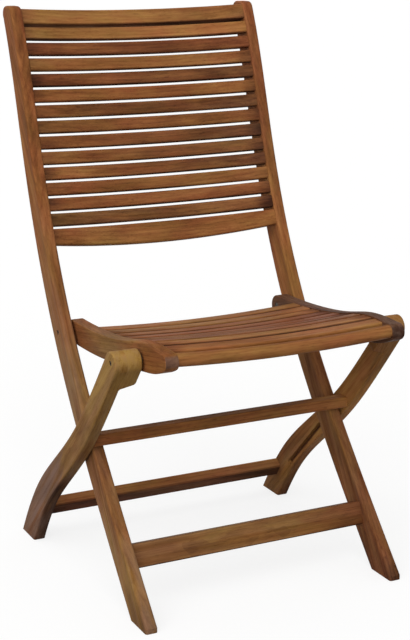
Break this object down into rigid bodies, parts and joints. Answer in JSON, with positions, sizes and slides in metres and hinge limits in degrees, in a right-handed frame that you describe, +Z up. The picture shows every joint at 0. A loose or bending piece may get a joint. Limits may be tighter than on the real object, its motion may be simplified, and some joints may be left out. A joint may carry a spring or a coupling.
{
  "type": "folding garden chair",
  "caption": "Wooden folding garden chair: bent posts with a slatted backrest cross rear legs that slide on a guide pin, under a dished slatted seat that swings up to fold it flat.",
  "frame": {"origin": "on the floor below the middle of the chair's box", "axes": "+Z up, -Y to the front of the seat, +X to the left of a person who sits on it"},
  "size_m": [0.5, 0.5888, 0.897],
  "materials": {
    "frame_wood": "oiled, satin",
    "slat_wood": "oiled, satin",
    "bolt_steel": "darkened steel, dull"
  },
  "bodies": {
    "frame": {"post_left": "frame_wood", "post_right": "frame_wood", "back_top_rail": "slat_wood", "back_slat_1": "slat_wood", "back_slat_2": "slat_wood", "back_slat_3": "slat_wood", "back_slat_4": "slat_wood", "back_slat_5": "slat_wood", "back_slat_6": "slat_wood", "back_slat_7": "slat_wood", "back_slat_8": "slat_wood", "back_slat_9": "slat_wood", "back_slat_10": "slat_wood", "back_slat_11": "slat_wood", "back_slat_12": "slat_wood", "back_slat_13": "slat_wood", "back_bottom_rail": "slat_wood", "front_stretcher": "frame_wood", "seat_pivot_bolt_left": "bolt_steel", "seat_pivot_bolt_right": "bolt_steel", "seat_pivot_washer_left": "bolt_steel", "seat_pivot_washer_right": "bolt_steel", "seat_pivot_nut_left": "bolt_steel", "seat_pivot_nut_right": "bolt_steel", "guide_pin_left": "bolt_steel", "guide_pin_right": "bolt_steel"},
    "seat": {"seat_rail_left": "frame_wood", "seat_rail_right": "frame_wood", "seat_slat_1": "slat_wood", "seat_slat_2": "slat_wood", "seat_slat_3": "slat_wood", "seat_slat_4": "slat_wood", "seat_slat_5": "slat_wood", "seat_slat_6": "slat_wood", "seat_slat_7": "slat_wood", "seat_slat_8": "slat_wood", "seat_slat_9": "slat_wood", "seat_nosing": "slat_wood"},
    "rear_legs": {"rear_leg_left": "frame_wood", "rear_leg_right": "frame_wood", "spacer_block_left": "frame_wood", "spacer_block_right": "frame_wood", "middle_stretcher": "frame_wood", "rear_stretcher": "frame_wood", "leg_pivot_bolt_left": "bolt_steel", "leg_pivot_bolt_right": "bolt_steel", "leg_pivot_washer_left": "bolt_steel", "leg_pivot_washer_right": "bolt_steel", "leg_pivot_nut_left": "bolt_steel", "leg_pivot_nut_right": "bolt_steel"}
  },
  "joints": [
    {"name": "seat_fold", "type": "hinge", "parent": "frame", "child": "seat", "pos_m": [0, 0.06985, 0.386], "axis": [-1, 0, 0], "range_deg": [0, 86]},
    {"name": "leg_fold", "type": "hinge", "parent": "seat", "child": "rear_legs", "pos_m": [0, -0.2069, 0.40833], "axis": [1, 0, 0], "range_deg": [0, 27.5]}
  ],
  "couplings": [
    {"joint": "leg_fold", "follows": "seat_fold", "ratio": 0.31948}
  ]
}
